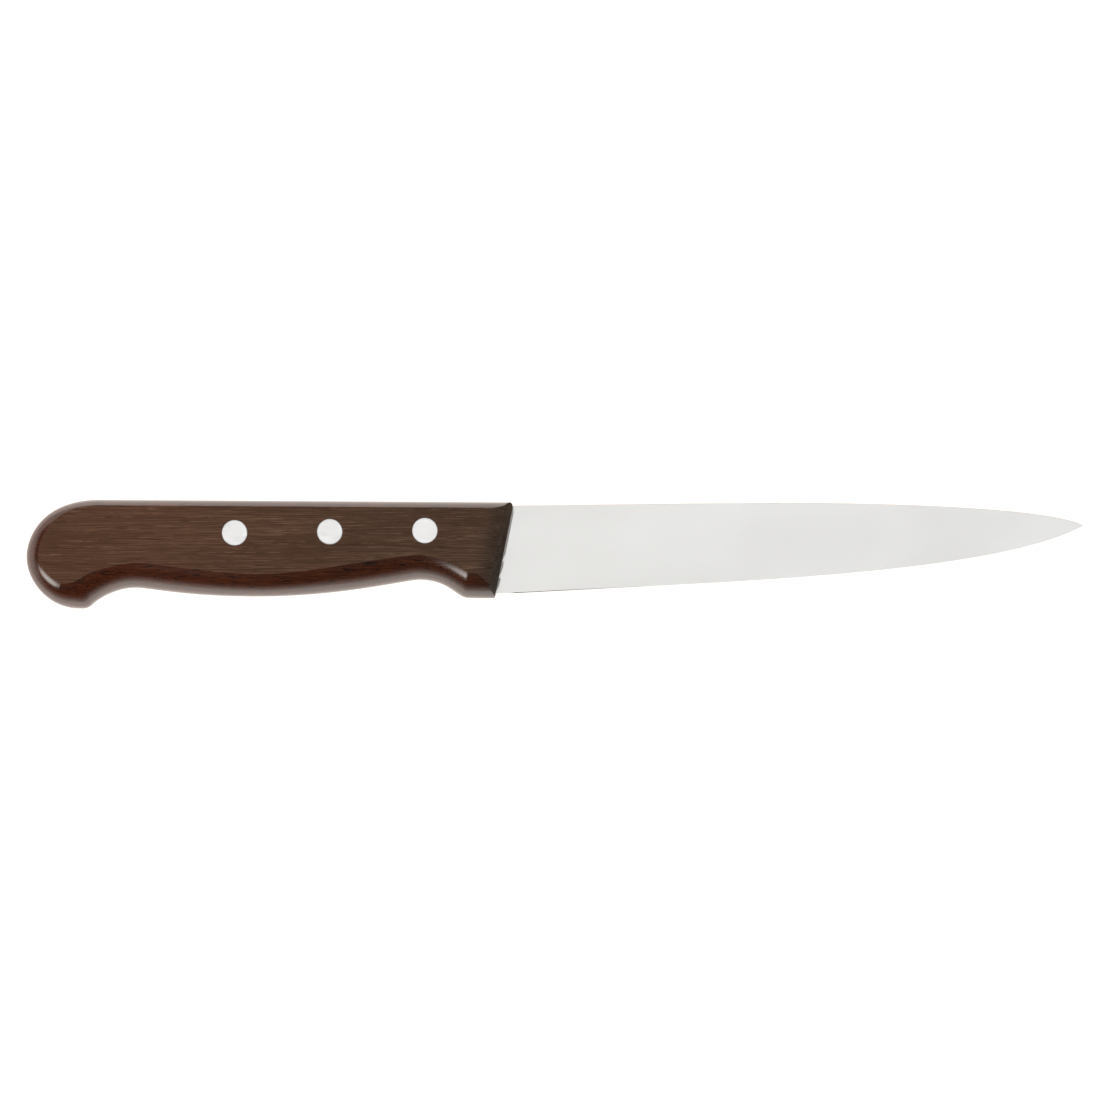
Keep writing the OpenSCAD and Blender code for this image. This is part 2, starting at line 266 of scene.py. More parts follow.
class Outline:
    """The side outline of the handle and the edge of its flats, as knots that share their spans."""

    # the shoulder, waist and palm swell stand this far in front of the butt, in millimetres
    shoulder = 20.1
    waist = 29.9
    palm = 63.7
    groove = -23.5  # the deepest point of the finger groove
    guard = -7.6  # the guard starts here, measured from the front edge
    butt_y = -15  # height of the rearmost point of the butt

    def __init__(self, handle):
        mm = {
            name: getattr(handle, name) / MM
            for name in (
                "length guard_depth groove_depth palm_depth waist_depth heel_depth spine_rise"
                " spine_radius butt_radius belly_radius corner_radius"
            ).split()
        }
        self.handle = handle
        self.tilt = math.tan(handle.front_lean)
        self.mm = mm
        self.butt = -mm["length"]
        self.spine_knots = self._spine()
        self.belly_knots = self._belly()
        self.flat_spine_knots = self._flat_spine()
        self.flat_belly_knots = self._flat_belly()

    def lean(self, ahead, y):
        """The point at height y, ahead of the front edge by the given distance along x."""
        return ahead + (y + MID_DEPTH / MM) * self.tilt, y

    def spine_y(self, x):
        """Height of the straight spine, which rises evenly towards the butt."""
        front = self.lean(0, 0)[0]
        return self.mm["spine_rise"] * (front - x) / (front - self.butt - self.shoulder)

    def _spine(self):
        mm, r = self.mm, self.mm["corner_radius"]
        start = self.lean(-r, 0)
        return [
            knot(self.butt, self.butt_y, leave=(0, 5)),
            knot(self.butt + self.shoulder, mm["spine_rise"], (16.2, 0), (3, 0)),
            knot(self.butt + self.waist, self.spine_y(self.butt + self.waist), (3, 0), (3, 0)),
            knot(*start, (3, 0), (0.6 * r, 0)),
            knot(*self.lean(0, -r), (0.1 * r, -0.5 * r)),
        ]

    def _belly(self):
        mm, butt = self.mm, self.butt
        heel, guard = mm["heel_depth"], mm["guard_depth"]
        hook = 47.6  # slope of the step from the heel up to the waist, in degrees
        return [
            knot(butt, self.butt_y, leave=(0, -5)),
            knot(butt + 7.7, 1.75 - heel, (4.6, -2.55), (2, -1.1)),
            knot(butt + 14.4, -heel, (2.4, 0), (0.7, 0)),
            knot(butt + 18.4, 1.4 - heel, heading(2.4, hook), heading(0.65, hook)),
            knot(butt + self.waist, -mm["waist_depth"], (6, 0), (4.5, 0)),
            knot(butt + self.palm, -mm["palm_depth"], (20.8, 0), (23.3, 0)),
            knot(self.groove, -mm["groove_depth"], (3.6, 0), (8.1, 0)),
            knot(*self.lean(self.guard, 0.1 - guard), heading(3.1, -4.5), heading(3, -3)),
            knot(*self.lean(-0.5, -guard), (1.5, 0), (0.3, 0)),
            knot(*self.lean(0, 0.4 - guard), (0, 0.2)),
        ]

    def _flat_spine(self):
        mm, r = self.mm, self.mm["spine_radius"]
        waist = self.butt + self.waist
        return [
            knot(self.butt + mm["butt_radius"], self.butt_y, leave=(0, 4)),
            knot(self.butt + self.shoulder, mm["spine_rise"] - r, (14, 0), (3, 0)),
            knot(waist, self.spine_y(waist) - r, (3, 0), (3, 0)),
            knot(*self.lean(self.guard, -r), (3, 0), (2, 0)),
            knot(*self.lean(0, -r - 0.6), (2, -0.4)),
        ]

    def _flat_belly(self):
        mm, butt, r = self.mm, self.butt, self.mm["belly_radius"]
        heel, guard = mm["heel_depth"], mm["guard_depth"]
        return [
            knot(butt + mm["butt_radius"], self.butt_y, leave=(0.2, -2.8)),
            knot(butt + 9.6, 6.9 - heel, heading(3.2, -20), heading(1, -1)),
            knot(butt + 12.5, 7.2 - heel, (1, 0.3), (0.8, 0.3)),
            knot(butt + 15.4, 8.6 - heel, (0.7, 0.6), (2, 1.7)),
            knot(butt + self.waist, r - 0.1 - mm["waist_depth"], (4, 0), (5, 0)),
            knot(butt + self.palm + 1.5, r - 0.8 - mm["palm_depth"], (14, 0), (12, 0)),
            knot(self.groove, r - 0.2 - mm["groove_depth"], (8, 0), (5.5, 0)),
            knot(*self.lean(self.guard - 1.2, r - guard), heading(3, -36), heading(2, -4)),
            knot(*self.lean(0, r - 0.3 - guard), heading(2, -2)),
        ]


# ---------------------------------------------------------------------------------------------
# Meshes
# ---------------------------------------------------------------------------------------------

WELD = 1e-8  # points of a mesh are rounded to this step, in metres, and joined where they agree
SHARP_ANGLE = 20  # degrees; edges that fold by more stay crisp


def grid_faces(first, rows, columns, wrap=False):
    """Quads between neighbours of a rows by columns grid of points numbered from first."""
    r, c = np.meshgrid(np.arange(rows - 1), np.arange(columns - (not wrap)), indexing="ij")
    right = (c + 1) % columns
    quad = np.stack([r * columns + c, r * columns + right, (r + 1) * columns + right,
                     (r + 1) * columns + c], axis=-1)
    return first + quad.reshape(-1, 4)


def strip_faces(one, other):
    """Quads between two rows of point numbers."""
    return np.stack([one[:-1], one[1:], other[1:], other[:-1]], axis=-1)


def solid(name, points, quads):
    """A closed mesh object in the frame. Points that share a place are joined, the quads that this
    leaves with fewer than three corners are dropped, and every face is turned outwards."""
    keys, back = np.unique(np.round(points / WELD).astype(np.int64), axis=0, return_inverse=True)
    quads = back.ravel()[quads]
    faces = []
    keep = quads != np.roll(quads, 1, axis=1)
    for corners in (3, 4):
        rows = keep.sum(axis=1) == corners
        faces += quads[rows][keep[rows]].reshape(-1, corners).tolist()
    mesh = bpy.data.meshes.new(name)
    mesh.from_pydata((keys * WELD).tolist(), [], faces)
    piece = bpy.data.objects.new(name, mesh)
    bpy.context.scene.collection.objects.link(piece)
    turn_outwards(piece)
    shade(piece)
    return piece


def turn_outwards(piece):
    """Turns every face of a closed mesh outwards."""
    work = bmesh.new()
    work.from_mesh(piece.data)
    bmesh.ops.recalc_face_normals(work, faces=work.faces)
    work.to_mesh(piece.data)
    work.free()


def shade(piece, sharp=SHARP_ANGLE):
    """Smooth shading, with edges sharper than the angle in degrees left crisp."""
    piece.data.shade_smooth()
    piece.data.set_sharp_from_angle(angle=math.radians(sharp))


def combine(piece, operation, *others, sharp=SHARP_ANGLE):
    """Joins other closed meshes to a piece or cuts them from it, and removes them."""
    for other in others:
        step = piece.modifiers.new(operation, "BOOLEAN")
        step.operation = operation
        step.solver = "EXACT"
        step.object = other
    bpy.context.view_layer.update()
    evaluated = piece.evaluated_get(bpy.context.evaluated_depsgraph_get())
    made = bpy.data.meshes.new_from_object(evaluated)
    piece.modifiers.clear()
    old = piece.data
    piece.data = made
    made.name = piece.name
    bpy.data.meshes.remove(old)
    for other in others:
        bpy.data.meshes.remove(other.data)
    shade(piece, sharp)


def lathe(name, profile, centre, segments):
    """A solid of revolution about a vertical axis: the profile's (radius, height) points turned
    through a full circle, with both ends on the axis."""
    angle = np.arange(segments) * math.tau / segments
    radius, height = np.array(profile).T
    points = np.stack(
        [
            centre[0] + radius[:, None] * np.cos(angle),
            centre[1] + radius[:, None] * np.sin(angle),
            np.broadcast_to(height[:, None], (len(radius), segments)),
        ],
        axis=-1,
    )
    faces = grid_faces(0, len(radius), segments, wrap=True)
    return solid(name, points.reshape(-1, 3), faces)


def frame_shift(outline):
    """From the drawing to the frame: the butt and the top of the spine meet the right scale's box,
    and height 0 goes to the middle plane."""
    handle = outline.handle
    return np.array([RIGHT_LOW.x + handle.length, RIGHT_HIGH.y - handle.spine_rise, RIGHT_LOW.z])


def finish_piece(piece, materials, slot, *nodes):
    """Gives a piece its materials and body, and hides the CAD nodes that it stands for. The slot is
    not used.
    """
    for material in materials:
        piece.data.materials.append(material)
    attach(piece, BODY)
    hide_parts(*nodes)


# ---------------------------------------------------------------------------------------------
# Wooden scales
# ---------------------------------------------------------------------------------------------

REAR_COUNTS = {"belly": [110, 40, 60, 80], "spine": [200, 90]}  # steps from the butt to the waist
FRONT_STEP = 0.35 * MM  # between stations from the waist to the guard
GUARD_STEPS, BEVEL_STEPS = 30, 16
LAST_STATIONS = np.array([-0.5, -0.4, -0.3, -0.2, -0.12, -0.07, -0.03, -0.01, 0]) * MM
ROUND_LEVELS = 22
WALL_ABOVE_TANG = 0.5 * MM  # upright wall that stays above the tang
FLAT_INSET = 0.12 * MM  # narrow rim of the flat, which keeps its shading even
INSET_LIMIT = 0.3  # share of the way across that this rim never passes
CORNER_FADE = 4 * MM  # the spine's rounding loses its steepness over this length before the front
CREASE_ANGLE = 9  # degrees; keeps the crease around the flats crisp


def front_stations(outline, tang_length):
    """Places along the front part of the handle as (base, tilt) of straight lines across it. The
    lines stand upright up to the end of the tang, which has two of them, and then lean more and
    more until they are parallel to the front edge at the guard."""
    waist = (outline.butt + outline.waist) * MM
    guard = outline.guard * MM
    handle = outline.handle
    bevel = -handle.bevel_length
    plain = [waist, -tang_length, -tang_length, guard]
    base = [np.linspace(a, b, max(1, round((b - a) / FRONT_STEP)), endpoint=False)
            for a, b in zip(plain[:-1], plain[1:])]
    base.append(np.linspace(guard, bevel, GUARD_STEPS, endpoint=False))
    base.append(np.linspace(bevel, 0, BEVEL_STEPS, endpoint=False))
    base = np.unique(np.concatenate([*base, LAST_STATIONS]))
    base = np.insert(base, np.searchsorted(base, -tang_length), -tang_length)
    tilt = outline.tilt * ease((base + tang_length) / (guard + tang_length))
    return base, tilt


def side_of_scale(outline, tang_length, spine_side):
    """Outer edge, flat edge, place ahead of the front edge, whether the tang lies behind it, and
    steepness of the rounding at every station from the butt to the front, on the spine side or the
    belly side."""
    kind = "spine" if spine_side else "belly"
    outer_knots = getattr(outline, kind + "_knots")
    flat_knots = getattr(outline, "flat_" + kind + "_knots")
    counts = REAR_COUNTS[kind]
    rear = slice(0, len(counts) + 1)
    base, tilt = front_stations(outline, tang_length)
    outer = np.vstack([chain(outer_knots[rear], counts)[:-1], meet(dense(outer_knots), base, tilt)])
    flat = np.vstack([chain(flat_knots[rear], counts)[:-1], meet(dense(flat_knots), base, tilt)])
    rear_count = len(outer) - len(base)
    ahead = np.concatenate([np.full(rear_count, -1.0), base])
    from_butt = (outer[:, 0] / MM - outline.butt) / outline.shoulder
    along_spine = ease(from_butt) * ease(-ahead / CORNER_FADE) * spine_side
    steepness = 1 + (outline.handle.spine_steepness - 1) * along_spine
    first_over_tang = rear_count + np.searchsorted(base, -tang_length, side="right") - 1
    over_tang = np.arange(len(outer)) >= first_over_tang
    return outer, flat, ahead, over_tang, steepness


def front_height(ahead, handle):
    """Height of the wood near the front: a parabola that falls from the full half thickness to the
    top of the bevel, and then a straight bevel whose foot is rounded by a quarter circle."""
    full = handle.thickness / 2
    run = handle.easing_length - handle.bevel_length
    t = np.clip((ahead + handle.easing_length) / run, 0, 1)
    easing = full - (full - handle.bevel_top) * t**2
    slope = np.clip((ahead + handle.bevel_length) / handle.bevel_length, 0, 1)
    foot = np.clip(ahead / handle.foot_radius + 1, 0, 1)
    rounding = handle.foot_radius * (1 - np.sqrt(1 - foot**2))
    return easing - (handle.bevel_top - handle.bevel_foot) * slope - rounding


def rings_of_scale(outer, flat, ahead, over_tang, steepness, handle, half_stock):
    """Rings of one side of a scale from the inner face up to the flat. The rounding is part of an
    ellipse from the outer edge to the flat's edge: the share of the way in is
    (cos a - cos m) / (1 - cos m) and the share of the rise is sin a / sin m. The last angle m is
    the smaller, and the crease at the flat the sharper, the steeper the rounding is. It stops
    early where the front is lower."""
    full = handle.thickness / 2
    wall_top = half_stock + WALL_ABOVE_TANG
    rise = np.minimum(full - wall_top, np.linalg.norm(outer - flat, axis=1) * steepness)
    limit = front_height(ahead, handle)
    meets = (math.pi / 2 - handle.flat_tilt) / np.sqrt(steepness)
    stop = np.arcsin(np.clip((limit - full + rise) / rise, 0, 1) * np.sin(meets))
    # where the front is lower than the foot of the rounding, the wall itself stops there
    foot_of_rounding = np.minimum(full - rise, limit)

    def ring(xy, z):
        return np.column_stack([xy, np.broadcast_to(z, len(xy))])

    seat = half_stock + handle.seam
    rings = [
        ring(outer, np.where(over_tang, seat, handle.seam)),
        ring(outer, seat),
        ring(outer, foot_of_rounding),
    ]
    for level in range(1, ROUND_LEVELS + 1):
        a = stop * level / ROUND_LEVELS
        inwards = (np.cos(a) - np.cos(meets)) / (1 - np.cos(meets))
        xy = flat + (outer - flat) * inwards[:, None]
        z = foot_of_rounding + rise * np.sin(a) / np.sin(meets)
        rings.append(ring(xy, np.minimum(z, limit)))
    return np.stack(rings)


def scale_points(outline, tang_length, half_stock):
    """Both sides of a scale as rings, and the inset ring of the flat, which goes straight across
    from each point towards its partner on the other side."""
    sides = [
        rings_of_scale(*side_of_scale(outline, tang_length, s), outline.handle, half_stock)
        for s in (True, False)
    ]
    tops = [side[-1] for side in sides]
    inset = []
    for top, partner in (tops, tops[::-1]):
        across = partner - top
        gap = np.linalg.norm(across, axis=1, keepdims=True)
        share_across = np.minimum(INSET_LIMIT, FLAT_INSET / np.maximum(gap, 1e-9))
        inset.append(top + across * share_across)
    return [np.concatenate([side, ring[None]]) for side, ring in zip(sides, inset)]


def scale_mesh(name, outline, tang_length, half_stock, side):
    """One closed scale, the right one with side = 1 and the left one with side = -1."""
    spine, belly = scale_points(outline, tang_length, half_stock)
    levels, stations = spine.shape[:2]
    points = np.concatenate([spine.reshape(-1, 3), belly.reshape(-1, 3)]) * (1, 1, side)
    number = np.arange(levels * stations).reshape(levels, stations)
    other = number + levels * stations
    faces = [
        grid_faces(0, levels, stations),
        grid_faces(levels * stations, levels, stations),
        strip_faces(number[-1], other[-1]),
        strip_faces(number[0], other[0]),
        strip_faces(number[:, -1], other[:, -1]),
    ]
    return solid(name, points + frame_shift(outline), np.vstack(faces))


def rivet_centres():
    """Centres of the three rivets, read from the frame."""
    boxes = [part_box(f"{place}_rivet_post") for place in RIVET_PLACES]
    return [((low + high) / 2).xy for low, high in boxes]


SLIDE_GAP = 0.02 * MM  # round a head in its counterbore and round a post in its sleeve
DRILL_GAP = 0.05 * MM  # round a sleeve in the wood and in the tang
BORE_START = 0.9 * MM  # solid metal between a sleeve's head and its bore


def hole_cutter(centre, rivets, handle, side):
    """The through hole of a scale with its counterbore and a broken edge, as a lathe."""
    full, head = handle.thickness / 2, rivets.head_height
    width = (POST_HIGH.x - POST_LOW.x) / 2 + SLIDE_GAP
    hole = rivets.sleeve_width / 2 + DRILL_GAP
    broken = rivets.edge_break
    steps = [
        (0, -full / 2), (hole, -full / 2), (hole, full - head), (width, full - head),
        (width, full - broken), (width + 2 * broken, full + broken), (0, full + broken),
    ]
    profile = [(r, full + side * z) for r, z in steps]
    return lathe("cutter", profile, centre, rivets.segments)


FLAT, ROUND = 0, 1  # material indices of a scale
FLAT_GAP = 0.004 * MM  # a face this close to the front profile belongs to the flat


def mark_flats(piece, outline, side):
    """Gives the satin material to the flat, its easing and the bevel, where the height is that of
    the front profile, and the lacquer to all other faces."""
    handle, mesh = outline.handle, piece.data
    centres = np.empty(len(mesh.polygons) * 3)
    mesh.polygons.foreach_get("center", centres)
    x, y, z = (centres.reshape(-1, 3) - frame_shift(outline)).T
    ahead = x - (y + MID_DEPTH) * outline.tilt
    satin = front_height(ahead, handle) - z * side < FLAT_GAP
    mesh.polygons.foreach_set("material_index", np.where(satin, FLAT, ROUND).astype(np.int32))


class KNIFE_OT_scales(bpy.types.Operator):
    """Builds the two wooden scales of the handle"""

    bl_idname = "knife.scales"
    bl_label = "Wooden scales"

    def execute(self, context):
        scene = context.scene
        handle, blade, rivets = scene.knife_handle, scene.knife_blade, scene.knife_rivets
        outline = Outline(handle)
        woods = [wood("satin_wood", scene.knife_finish, outline, lacquered=False),
                 wood("lacquered_wood", scene.knife_finish, outline, lacquered=True)]
        for name, side in (("right_scale", 1), ("left_scale", -1)):
            piece = scale_mesh(name + "_wood", outline, blade.tang_length, blade.stock / 2, side)
            cutters = [hole_cutter(c, rivets, handle, side) for c in rivet_centres()]
            combine(piece, "DIFFERENCE", *cutters, sharp=CREASE_ANGLE)
            mark_flats(piece, outline, side)
            finish_piece(piece, woods, "rosewood", name)
        return {"FINISHED"}


# ---------------------------------------------------------------------------------------------
# Blade
# ---------------------------------------------------------------------------------------------

GRIND_HALF = 0.1 * MM  # half thickness where the fine bevel of the edge starts
EDGE_HALF = 0.015 * MM  # half thickness at the very edge
DISTAL = 0.35  # share of the taper that is lost towards the tip
BLADE_STATIONS = 420
CROWDING = 1.35  # above 1, the stations stand closer together towards the tip
TIP_GAP = 0.02 * MM  # the last station stands this far behind the point
UPRIGHT_BY = 14 * MM  # the stations lean like the front edge and stand upright from here on
FINE_BY = 60 * MM  # the fine bevel is at its narrowest from here on
NARROWING = 0.75  # share of its height that the fine bevel loses
SHARPENING = 2 * MM  # the edge turns from blunt to sharp over this length
SIDE_ROWS = 12
LAST_ROW = 0.996  # a row just above the fine bevel keeps the shading of the side even


def blade_knots(outline, blade, blade_length):
    """Knots of the blade's back and of its edge, from inside the handle to the tip."""
    depth, drop, tip = blade.depth / MM, blade.tip_drop / MM, blade_length / MM
    back_start = outline.lean(0, -0.85)[0] - 1
    edge_start = outline.lean(0, -depth)[0] - 1
    back = [
        knot(back_start, -0.85, leave=(15.6, 0.1)),
        knot(tip / 2, -0.1, (21.9, 0), (8.9, 0)),
        knot(tip, -drop, heading(11.6, -30.2)),
    ]
    edge = [
        knot(edge_start, -depth - 0.1, leave=(1, 0)),
        knot(2.2, -depth, (1, 0.02), heading(54.4, 3.2)),
        knot(tip, -drop, heading(28.6, 29)),
    ]
    return back, edge


def blade_sections(outline, blade, blade_length):
    """Sections of the blade from the front of the handle to the tip. The half thickness grows
    evenly from the fine bevel up to the back, to the full stock at the handle and less and less
    towards the tip. Each section runs down the right side and up the left side."""
    t = np.linspace(0, 1, BLADE_STATIONS)
    base = blade_length * (1 - (1 - t) ** CROWDING)
    tilt = outline.tilt * (1 - ease(base / UPRIGHT_BY))
    back, edge = blade_knots(outline, blade, blade_length)
    base = np.minimum(base, blade_length - TIP_GAP)
    top, low = meet(dense(back), base, tilt), meet(dense(edge), base, tilt)
    height = top[:, 1] - low[:, 1]
    taper = (blade.stock / 2 - GRIND_HALF) / height[0]
    back_half = GRIND_HALF + taper * (1 - DISTAL * base / blade_length) * height
    sharp = ease((base - blade.blunt_length) / SHARPENING + 0.5)
    tip = GRIND_HALF + (EDGE_HALF - GRIND_HALF) * sharp
    bevel = blade.edge_bevel * (1 - NARROWING * ease(base / FINE_BY))
    lift = np.minimum(bevel, height / 3)
    corner = np.minimum(blade.corner, height / 6)
    # rows from the back to the edge as (drop from the back, half thickness)
    rows = [(0 * height, 0 * height), (0 * height, back_half - corner)]
    for s in (*np.linspace(0, LAST_ROW, SIDE_ROWS), 1):
        drop = corner + (height - lift - corner) * s
        rows.append((drop, back_half + (GRIND_HALF - back_half) * s))
    rows.append((height, tip))
    rows.append((height, 0 * height))
    drop = np.stack([r[0] for r in rows])
    half = np.stack([r[1] for r in rows])
    share_down = drop / np.maximum(height, 1e-9)
    xy = top[None] + (low - top)[None] * share_down[..., None]
    right = np.concatenate([xy, half[..., None]], axis=-1)
    left = (right * (1, 1, -1))[-2:0:-1]
    return np.concatenate([right, left]).transpose(1, 0, 2)


def tang_plate(outline, blade):
    """The flat tang as an upright wall between the spine and the belly, from its rear end to the
    front edge, with a broken corner on every long edge."""
    handle = outline.handle
    base, tilt = front_stations(outline, blade.tang_length)
    over = base >= -blade.tang_length
    base, tilt = np.unique(base[over]), tilt[over][1:]
    top = meet(dense(outline.spine_knots), base, tilt)
    low = meet(dense(outline.belly_knots), base, tilt)
    corner, half = handle.seam, blade.stock / 2
    down = (low - top) / np.linalg.norm(low - top, axis=1, keepdims=True)
    rows = [(top, half - corner), (top + down * corner, half), (low - down * corner, half),
            (low, half - corner)]
    ring = [np.column_stack([xy, np.full(len(xy), z)]) for xy, z in rows]
    ring += [r * (1, 1, -1) for r in ring[::-1]]
    return np.stack(ring).transpose(1, 0, 2)


def loft(name, sections, outline):
    """A closed solid through sections of equal size, with both ends filled across."""
    stations, size = sections.shape[:2]
    points = sections.reshape(-1, 3) + frame_shift(outline)
    faces = [grid_faces(0, stations, size, wrap=True)]
    half = size // 2
    for start in (0, (stations - 1) * size):
        one = start + np.arange(half + 1)
        other = start + (-np.arange(half + 1)) % size
        faces.append(strip_faces(one, other))
    return solid(name, points, np.vstack(faces))


class KNIFE_OT_blade(bpy.types.Operator):
    """Builds the blade with its tang"""

    bl_idname = "knife.blade"
    bl_label = "Blade and tang"

    def execute(self, context):
        scene = context.scene
        handle, blade, rivets = scene.knife_handle, scene.knife_blade, scene.knife_rivets
        outline = Outline(handle)
        blade_length = BLADE_HIGH.x - RIGHT_LOW.x - handle.length
        piece = loft("blade_steel", blade_sections(outline, blade, blade_length), outline)
        tang = loft("tang", tang_plate(outline, blade), outline)
        combine(piece, "UNION", tang)
        hole, middle = rivets.sleeve_width / 2 + DRILL_GAP, handle.thickness / 2
        low, high = middle - blade.stock, middle + blade.stock
        profile = [(0, low), (hole, low), (hole, high), (0, high)]
        cutters = [lathe("cutter", profile, c, rivets.segments) for c in rivet_centres()]
        combine(piece, "DIFFERENCE", *cutters)
        steel = ground_steel("ground_steel", scene.knife_finish)
        finish_piece(piece, [steel], "blade_steel", "blade")
        return {"FINISHED"}


# ---------------------------------------------------------------------------------------------
# Rivets
# ---------------------------------------------------------------------------------------------


class KNIFE_OT_rivets(bpy.types.Operator):
    """Builds the three two-piece rivets"""

    bl_idname = "knife.rivets"
    bl_label = "Rivets"

    def execute(self, context):
        scene = context.scene
        rivets, metal = scene.knife_rivets, ground_metal("rivet_metal", scene.knife_finish)
        for place, centre in zip(RIVET_PLACES, rivet_centres()):
            for kind, profile in (("post", post_profile), ("sleeve", sleeve_profile)):
                node = f"{place}_rivet_{kind}"
                low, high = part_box(node)
                steps = profile(rivets, low.z, high.z, (high.x - low.x) / 2)
                piece = lathe(node + "_metal", steps, centre, rivets.segments)
                finish_piece(piece, [metal], "rivet_metal", node)
        return {"FINISHED"}


def post_profile(rivets, low, high, head):
    """Half section of a post from the tip of its shank up to the face of its head."""
    r, broken, neck = rivets.post_width / 2, rivets.edge_break, high - rivets.head_height
    return [
        (0, low), (r - 3 * broken, low), (r, low + 4 * broken), (r, neck), (head, neck),
        (head, high - broken), (head - broken, high), (head / 2, high), (0, high),
    ]


def sleeve_profile(rivets, low, high, head):
    """Half section of a sleeve from the face of its head up, over its rim and down its bore."""
    r, broken, neck = rivets.sleeve_width / 2, rivets.edge_break, low + rivets.head_height
    bore, bore_floor = rivets.post_width / 2 + SLIDE_GAP, neck + BORE_START
    return [
        (0, low), (head / 2, low), (head - broken, low), (head, low + broken), (head, neck),
        (r, neck), (r, high - broken), (r - broken, high), (bore + broken, high),
        (bore, high - broken), (bore, bore_floor), (0, bore_floor),
    ]


# ---------------------------------------------------------------------------------------------
# Materials
# ---------------------------------------------------------------------------------------------


class Shader:
    """A node tree, with short calls for adding and joining nodes."""

    def __init__(self, owner, surface):
        owner.use_nodes = True
        self.tree = owner.node_tree
        self.surface = self.tree.nodes[surface]

    @classmethod
    def of_material(cls, name):
        """A new material and its tree."""
        material = bpy.data.materials.new(name)
        made = cls(material, "Principled BSDF")
        made.material = material
        return made

    def add(self, kind, inputs=None, **settings):
        """Adds a node; inputs are values or the outputs of other nodes, by name or number."""
        made = self.tree.nodes.new(kind)
        for name, value in settings.items():
            setattr(made, name, value)
        self.join(made, inputs or {})
        return made

    def join(self, made, inputs):
        """Sets or links a node's inputs."""
        for key, value in inputs.items():
            if isinstance(value, bpy.types.NodeSocket):
                self.tree.links.new(value, made.inputs[key])
            else:
                made.inputs[key].default_value = value

    def stretched(self, scale, turn=(0, 0, 0)):
        """Object coordinates turned and then scaled, in steps per metre."""
        coords = self.add("ShaderNodeTexCoord").outputs["Object"]
        inputs = {"Vector": coords, "Rotation": turn, "Scale": scale}
        return self.add("ShaderNodeMapping", inputs).outputs[0]

    def position(self):
        """The three object coordinates, in metres."""
        return self.add("ShaderNodeSeparateXYZ", {0: self.stretched((1, 1, 1))}).outputs

    def noise(self, vector, detail=3.0, rough=0.55, distort=0.0):
        """Fractal noise from 0 to 1."""
        inputs = {"Vector": vector, "Scale": 1.0, "Detail": detail, "Roughness": rough,
                  "Distortion": distort}
        return self.add("ShaderNodeTexNoise", inputs).outputs[0]

    def between(self, value, low, high, to_low=0.0, to_high=1.0):
        """The value from low to high, spread smoothly from to_low to to_high."""
        inputs = {0: value, 1: low, 2: high, 3: to_low, 4: to_high}
        return self.add("ShaderNodeMapRange", inputs, interpolation_type="SMOOTHSTEP").outputs[0]

    def maths(self, operation, a, b):
        """One step of arithmetic."""
        return self.add("ShaderNodeMath", {0: a, 1: b}, operation=operation).outputs[0]

    def mix(self, factor, a, b, blend="MIX"):
        """Mixes two colours."""
        made = self.add("ShaderNodeMix", data_type="RGBA", blend_type=blend)
        for index, value in ((0, factor), (6, a), (7, b)):
            if isinstance(value, bpy.types.NodeSocket):
                self.tree.links.new(value, made.inputs[index])
            elif index:
                made.inputs[index].default_value = (*value, 1)
            else:
                made.inputs[index].default_value = value
        return made.outputs[2]

    def bump(self, height, distance):
        """Bump from a height between 0 and 1, with its depth in metres."""
        inputs = {"Height": height, "Distance": distance, "Strength": 1.0}
        return self.add("ShaderNodeBump", inputs).outputs[0]


PORE = (0.012, 0.006, 0.004)  # colour inside the pores
FRONT_EASING_SHADE = (9 * MM, 2.5 * MM)  # painted shade where the wood falls towards the front edge: it begins and is darkest this far behind that edge
BEVEL_SHADE = 8 * MM  # the painted shade on the bevel changes this far above and below mid depth
SHADE_EDGE = 0.05 * MM  # half the width over which the painted shade of the bevel sets in


def grain(s, finish, lacquered):
    """Colour of the wood, with its streaks and pores: growth rings almost parallel to the sides,
    long fine streaks, broken light lines and short dark pores, which are deeper in the lacquer."""
    deep = 2800 if lacquered else 900  # steps of the grain per metre of height
    rings = s.noise(s.stretched((26, 300, deep / 2), turn=(0, 0, 0.03)), detail=3, distort=0.3)
    streaks = s.noise(s.stretched((45, 5600, deep), turn=(0, 0, 0.006)), detail=3, rough=0.6)
    flecks = s.noise(s.stretched((60, 6000, deep), turn=(0, 0, 0.002)), detail=1)
    breaks = s.noise(s.stretched((240, 1600, deep)), detail=2)
    size, slant = ((200, 2900, deep), 0.3) if lacquered else ((170, 4800, deep), 0)
    pores = s.noise(s.stretched(size, turn=(0, 0, slant)), detail=2)
    base = s.mix(s.between(streaks, 0.36, 0.62), finish.wood_dark, finish.wood_mid)
    base = s.mix(s.between(rings, 0.40, 0.60, 0.55, 0.0), base, finish.wood_dark)
    dashes = s.maths("MULTIPLY", s.between(flecks, 0.54, 0.66, 0.0, 0.55),
                     s.between(breaks, 0.42, 0.56))
    base = s.mix(dashes, base, finish.wood_light)
    depth = 0.85 if lacquered else 0.35
    base = s.mix(s.between(pores, 0.56, 0.66, 0.0, depth), base, PORE)
    return base, streaks, pores


